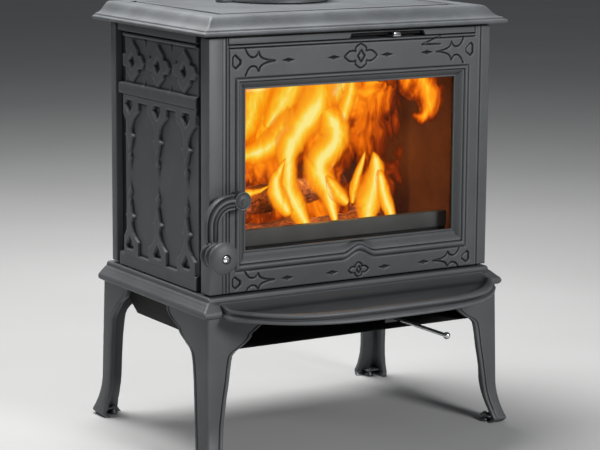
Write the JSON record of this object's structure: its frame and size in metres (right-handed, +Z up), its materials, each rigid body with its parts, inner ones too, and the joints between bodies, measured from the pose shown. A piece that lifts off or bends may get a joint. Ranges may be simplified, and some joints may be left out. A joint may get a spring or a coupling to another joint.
{
  "type": "wood burning stove",
  "caption": "Small cast-iron wood burning stove with a glazed right-hinged door, curved lever handle, bowed ash lip, sliding air controls, top flue collar and splayed legs.",
  "frame": {"origin": "on the floor, under the middle of the bounding box", "axes": "+Z up, +X to the right of a person facing the door, +Y from the door towards the back of the stove"},
  "size_m": [0.566, 0.5042, 0.708],
  "materials": {
    "painted_iron": "matte stove paint on cast iron",
    "burnt_iron": "bare iron, fire-stained",
    "dark_steel": "dark oxidised steel",
    "bright_steel": "bright polished steel",
    "sheet_steel": "dark painted sheet steel",
    "rope_seal": "knitted glass-fibre rope",
    "clear_glass": "clear ceramic glass",
    "fire_board": "rough vermiculite fire board, soot-stained",
    "firewood": "split logs with charred bark"
  },
  "bodies": {
    "stove": {"top_plate": "painted_iron", "flue_collar": "painted_iron", "collar_bolt_left": "dark_steel", "collar_bolt_right": "dark_steel", "base_plate": "painted_iron", "ash_lip": "painted_iron", "leg_front_left": "painted_iron", "leg_front_right": "painted_iron", "leg_rear_left": "painted_iron", "leg_rear_right": "painted_iron", "leg_bolt_front_left": "dark_steel", "leg_bolt_front_right": "dark_steel", "leg_bolt_rear_left": "dark_steel", "leg_bolt_rear_right": "dark_steel", "levelling_bolt_front_left": "dark_steel", "levelling_bolt_front_right": "dark_steel", "levelling_bolt_rear_left": "dark_steel", "levelling_bolt_rear_right": "dark_steel", "bottom_heat_shield": "sheet_steel", "shield_bracket_left": "sheet_steel", "shield_bracket_right": "sheet_steel", "rod_guide": "dark_steel", "front_frame": "painted_iron", "side_panel_left": "painted_iron", "side_panel_right": "painted_iron", "rear_frame": "painted_iron", "rear_heat_shield": "sheet_steel", "burn_plate_left": "fire_board", "burn_plate_right": "fire_board", "burn_plate_rear": "fire_board", "baffle_plate": "fire_board", "airwash_deflector": "burnt_iron", "grate": "burnt_iron", "log_guard": "burnt_iron", "firewood_log_front": "firewood", "firewood_log_back": "firewood", "firewood_log_top": "firewood", "hinge_pin_lower": "dark_steel", "hinge_pin_upper": "dark_steel", "latch_keeper": "dark_steel"},
    "door": {"door_frame": "painted_iron", "door_glass": "clear_glass", "glass_seal": "rope_seal", "door_rope_seal": "rope_seal", "glass_clip_upper_left": "dark_steel", "glass_clip_upper_right": "dark_steel", "glass_clip_lower_left": "dark_steel", "glass_clip_lower_right": "dark_steel"},
    "handle": {"handle_arm": "painted_iron", "handle_hub": "painted_iron", "handle_shaft": "dark_steel", "latch_cam": "dark_steel", "handle_knob": "painted_iron", "knob_screw": "bright_steel"},
    "air_slide": {"air_slider": "dark_steel", "air_knob": "painted_iron"},
    "air_rod": {"pull_rod": "bright_steel", "rod_ball": "bright_steel", "primary_air_damper": "dark_steel"}
  },
  "joints": [
    {"name": "door_hinge", "type": "hinge", "parent": "stove", "child": "door", "pos_m": [0.251, -0.09255, 0.452], "axis": [0, 0, 1], "range_deg": [0, 115]},
    {"name": "handle_turn", "type": "hinge", "parent": "door", "child": "handle", "pos_m": [-0.207, -0.10255, 0.4029], "axis": [0, 1, 0], "range_deg": [0, 60]},
    {"name": "air_lever_slide", "type": "slide", "parent": "stove", "child": "air_slide", "axis": [1, 0, 0], "range_m": [-0.074, 0.051]},
    {"name": "pull_rod_slide", "type": "slide", "parent": "stove", "child": "air_rod", "axis": [0, -1, 0], "range_m": [0, 0.06]}
  ]
}
